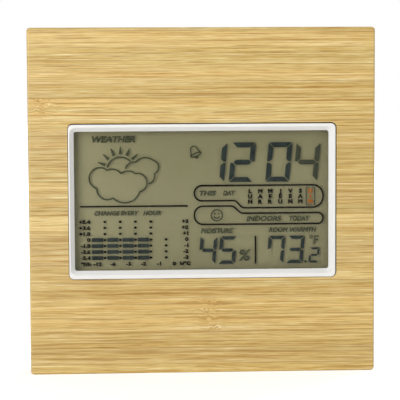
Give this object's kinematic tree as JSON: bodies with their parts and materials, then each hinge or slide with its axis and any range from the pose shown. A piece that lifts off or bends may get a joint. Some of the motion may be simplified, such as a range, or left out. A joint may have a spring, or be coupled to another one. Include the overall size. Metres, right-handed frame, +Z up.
{
  "type": "home weather station",
  "caption": "Square bamboo-fronted desk weather station with a white-bezelled LCD, rear keys, a battery bay, a folding leg and a wall keyhole.",
  "frame": {"origin": "on the table, under the middle of the station standing upright with its leg folded", "axes": "+X to the right of someone reading the display, +Y from the display to the back, +Z up"},
  "size_m": [0.135, 0.025, 0.135],
  "materials": {
    "bamboo": "fine horizontal bamboo grain, clear satin lacquer",
    "case_plastic": "white moulded ABS, satin",
    "tape": "black double-sided tape",
    "clear_lens": "clear acrylic, polished",
    "polariser_film": "grey-green film",
    "display_glass": "clear",
    "display_reflector": "grey-green reflective film",
    "display_ink": "the display's dark segments; no solid of its own",
    "zebra_rubber": "striped silicone",
    "circuit_board": "green solder mask",
    "resin": "black epoxy",
    "plated_steel": "nickel plated",
    "spring_steel": "nickel-plated spring steel",
    "component_sleeve": "printed sleeves",
    "battery_jacket": null,
    "wire_sleeve": "insulated wire",
    "ribbon_film": "flat film cable",
    "switch_plastic": "black nylon",
    "key_plastic": "grey moulded ABS",
    "brass": "plain",
    "piezo_ceramic": "silvered"
  },
  "bodies": {
    "station": {"bamboo_panel": "bamboo", "front_bezel": "case_plastic", "rear_cover": "case_plastic", "lcd_holder": "case_plastic", "humidity_sensor": "case_plastic", "lens_tape": "tape", "window_lens": "clear_lens", "front_polariser": "polariser_film", "lcd_front_glass": "display_glass", "lcd_rear_glass": "display_glass", "lcd_reflector": "display_reflector", "zebra_strip_upper": "zebra_rubber", "zebra_strip_lower": "zebra_rubber", "main_board": "circuit_board", "key_board": "circuit_board", "chip_blob": "resin", "quartz_crystal": "plated_steel", "board_capacitors": "component_sleeve", "temperature_sensor": "resin", "bezel_screws": "plated_steel", "board_screws": "plated_steel", "case_screws": "plated_steel", "key_board_screws": "plated_steel", "battery_upper": "battery_jacket", "battery_lower": "battery_jacket", "contact_link": "spring_steel", "contact_positive": "spring_steel", "contact_negative": "spring_steel", "battery_wires": "wire_sleeve", "buzzer_wires": "wire_sleeve", "ribbon_cable": "ribbon_film", "tact_switches": "switch_plastic", "buzzer_disc": "brass", "buzzer_ceramic": "piezo_ceramic"},
    "door": {"battery_door": "case_plastic"},
    "leg": {"stand_leg": "case_plastic"},
    "mode_key": {"mode_button": "key_plastic", "mode_plunger": "switch_plastic"},
    "set_key": {"set_button": "key_plastic", "set_plunger": "switch_plastic"},
    "up_key": {"up_button": "key_plastic", "up_plunger": "switch_plastic"},
    "down_key": {"down_button": "key_plastic", "down_plunger": "switch_plastic"},
    "alarm_key": {"alarm_button": "key_plastic", "alarm_plunger": "switch_plastic"},
    "unit_key": {"unit_button": "key_plastic", "unit_plunger": "switch_plastic"},
    "reset_key": {"reset_button": "key_plastic", "reset_plunger": "switch_plastic"}
  },
  "joints": [
    {"name": "door_hinge", "type": "hinge", "parent": "station", "child": "door", "pos_m": [0, 0.0109, 0.0778], "axis": [-1, 0, 0], "range_deg": [0, 95]},
    {"name": "leg_hinge", "type": "hinge", "parent": "station", "child": "leg", "pos_m": [0, 0.0103, 0.066], "axis": [1, 0, 0], "range_deg": [0, 25]},
    {"name": "mode_press", "type": "slide", "parent": "station", "child": "mode_key", "axis": [0, -1, 0], "range_m": [0, 0.0003], "stiffness_N_per_m": 300, "springref_m": -0.002},
    {"name": "set_press", "type": "slide", "parent": "station", "child": "set_key", "axis": [0, -1, 0], "range_m": [0, 0.0003], "stiffness_N_per_m": 300, "springref_m": -0.002},
    {"name": "up_press", "type": "slide", "parent": "station", "child": "up_key", "axis": [0, -1, 0], "range_m": [0, 0.0003], "stiffness_N_per_m": 300, "springref_m": -0.002},
    {"name": "down_press", "type": "slide", "parent": "station", "child": "down_key", "axis": [0, -1, 0], "range_m": [0, 0.0003], "stiffness_N_per_m": 300, "springref_m": -0.002},
    {"name": "alarm_press", "type": "slide", "parent": "station", "child": "alarm_key", "axis": [0, -1, 0], "range_m": [0, 0.0003], "stiffness_N_per_m": 300, "springref_m": -0.002},
    {"name": "unit_press", "type": "slide", "parent": "station", "child": "unit_key", "axis": [0, -1, 0], "range_m": [0, 0.0003], "stiffness_N_per_m": 300, "springref_m": -0.002},
    {"name": "reset_press", "type": "slide", "parent": "station", "child": "reset_key", "axis": [0, -1, 0], "range_m": [0, 0.0003], "stiffness_N_per_m": 300, "springref_m": -0.002}
  ]
}
